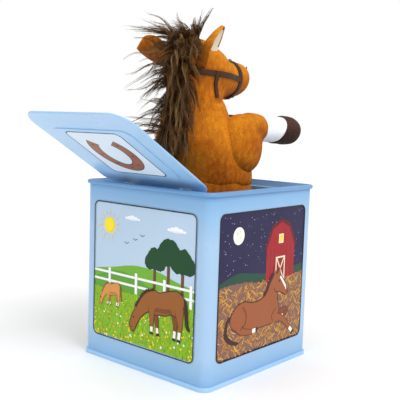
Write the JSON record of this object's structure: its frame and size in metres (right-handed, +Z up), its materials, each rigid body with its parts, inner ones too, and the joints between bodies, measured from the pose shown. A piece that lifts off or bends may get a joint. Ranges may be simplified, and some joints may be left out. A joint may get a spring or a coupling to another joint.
{
  "type": "jack in the box",
  "caption": "Square tin box with a hinged lid, a side crank with a musical movement and latch, and a plush horse on a coil spring that pops up through the top.",
  "frame": {"origin": "centre of the underside of the tin box", "axes": "+Z up, -Y the front that the horse faces, +Y the hinge side of the lid, +X the crank side"},
  "size_m": [0.1822, 0.2403, 0.2844],
  "materials": {
    "blue_tin": "gloss printed lacquer",
    "bright_steel": "plated",
    "spring_steel": "bare spring wire and comb steel",
    "brass": "machined",
    "fibreboard": "pressed board",
    "brown_plush": "short crushed pile",
    "white_plush": "short pile",
    "hoof_felt": "short pile",
    "dark_hair": "long loose hair",
    "brown_ribbon": "woven ribbon",
    "black_bead": "polished",
    "red_plastic": "moulded"
  },
  "bodies": {
    "box": {"base_plate": "blue_tin", "tin_body": "blue_tin", "top_frame": "blue_tin", "hinge_leaves": "bright_steel", "hinge_rivets": "bright_steel", "hinge_pin": "bright_steel", "spring_seat": "bright_steel", "seat_rivets": "bright_steel", "main_spring": "spring_steel", "sleeve": "brown_plush", "crank_bush": "brass", "inner_plate": "bright_steel", "outer_plate": "bright_steel", "plate_spacers": "brass", "movement_screws": "bright_steel", "comb_bracket": "bright_steel", "bracket_rivets": "brass", "music_comb": "spring_steel", "comb_screws": "bright_steel", "latch_pin": "bright_steel", "latch_spring": "spring_steel"},
    "lid": {"lid_panel": "blue_tin", "lid_catch": "bright_steel", "catch_rivets": "bright_steel"},
    "puppet": {"spring_cap": "fibreboard", "torso": "brown_plush", "head": "brown_plush", "right_ear": "brown_plush", "left_ear": "brown_plush", "mane": "dark_hair", "forelock": "dark_hair", "bridle": "brown_ribbon", "eyes": "black_bead"},
    "right_foreleg": {"right_upper_leg": "brown_plush", "right_sock": "white_plush", "right_hoof": "hoof_felt"},
    "left_foreleg": {"left_upper_leg": "brown_plush", "left_sock": "white_plush", "left_hoof": "hoof_felt"},
    "crank": {"crank_rod": "bright_steel", "crank_pinion": "brass", "knob_cap": "bright_steel"},
    "knob": {"crank_knob": "red_plastic"},
    "drum": {"drum_arbor": "bright_steel", "music_drum": "brass", "drum_gear": "brass", "trip_cam": "brass"},
    "latch": {"latch_lever": "bright_steel"}
  },
  "joints": [
    {"name": "puppet_rise", "type": "slide", "parent": "box", "child": "puppet", "axis": [0, 0, 1], "range_m": [-0.148, 0], "stiffness_N_per_m": 40, "springref_m": 0.08, "deforming": ["main_spring", "sleeve"]},
    {"name": "lid_hinge", "type": "hinge", "parent": "box", "child": "lid", "pos_m": [0, 0.052, 0.1509], "axis": [-1, 0, 0], "range_deg": [-149, 0.2]},
    {"name": "right_leg_fold", "type": "hinge", "parent": "puppet", "child": "right_foreleg", "pos_m": [-0.033, -0.014, 0.196], "axis": [-1, 0, 0], "range_deg": [-0.2, 90.2]},
    {"name": "left_leg_fold", "type": "hinge", "parent": "puppet", "child": "left_foreleg", "pos_m": [0.033, -0.014, 0.196], "axis": [-1, 0, 0], "range_deg": [-0.2, 90.2]},
    {"name": "crank_spin", "type": "hinge", "parent": "box", "child": "crank", "pos_m": [0.06, 0, 0.078], "axis": [1, 0, 0], "continuous": true},
    {"name": "knob_spin", "type": "hinge", "parent": "crank", "child": "knob", "pos_m": [0.098, 0, 0.046], "axis": [1, 0, 0], "continuous": true},
    {"name": "drum_spin", "type": "hinge", "parent": "box", "child": "drum", "pos_m": [0.06, 0.024, 0.078], "axis": [1, 0, 0], "continuous": true},
    {"name": "latch_pivot", "type": "hinge", "parent": "box", "child": "latch", "pos_m": [0.0508, -0.002, 0.112], "axis": [1, 0, 0], "range_deg": [0, 9]}
  ],
  "couplings": [
    {"joint": "lid_hinge", "follows": "puppet_rise", "rad_per_m": 17.548},
    {"joint": "right_leg_fold", "follows": "puppet_rise", "rad_per_m": -10.613},
    {"joint": "left_leg_fold", "follows": "puppet_rise", "rad_per_m": -10.613},
    {"joint": "drum_spin", "follows": "crank_spin", "ratio": -0.2}
  ]
}
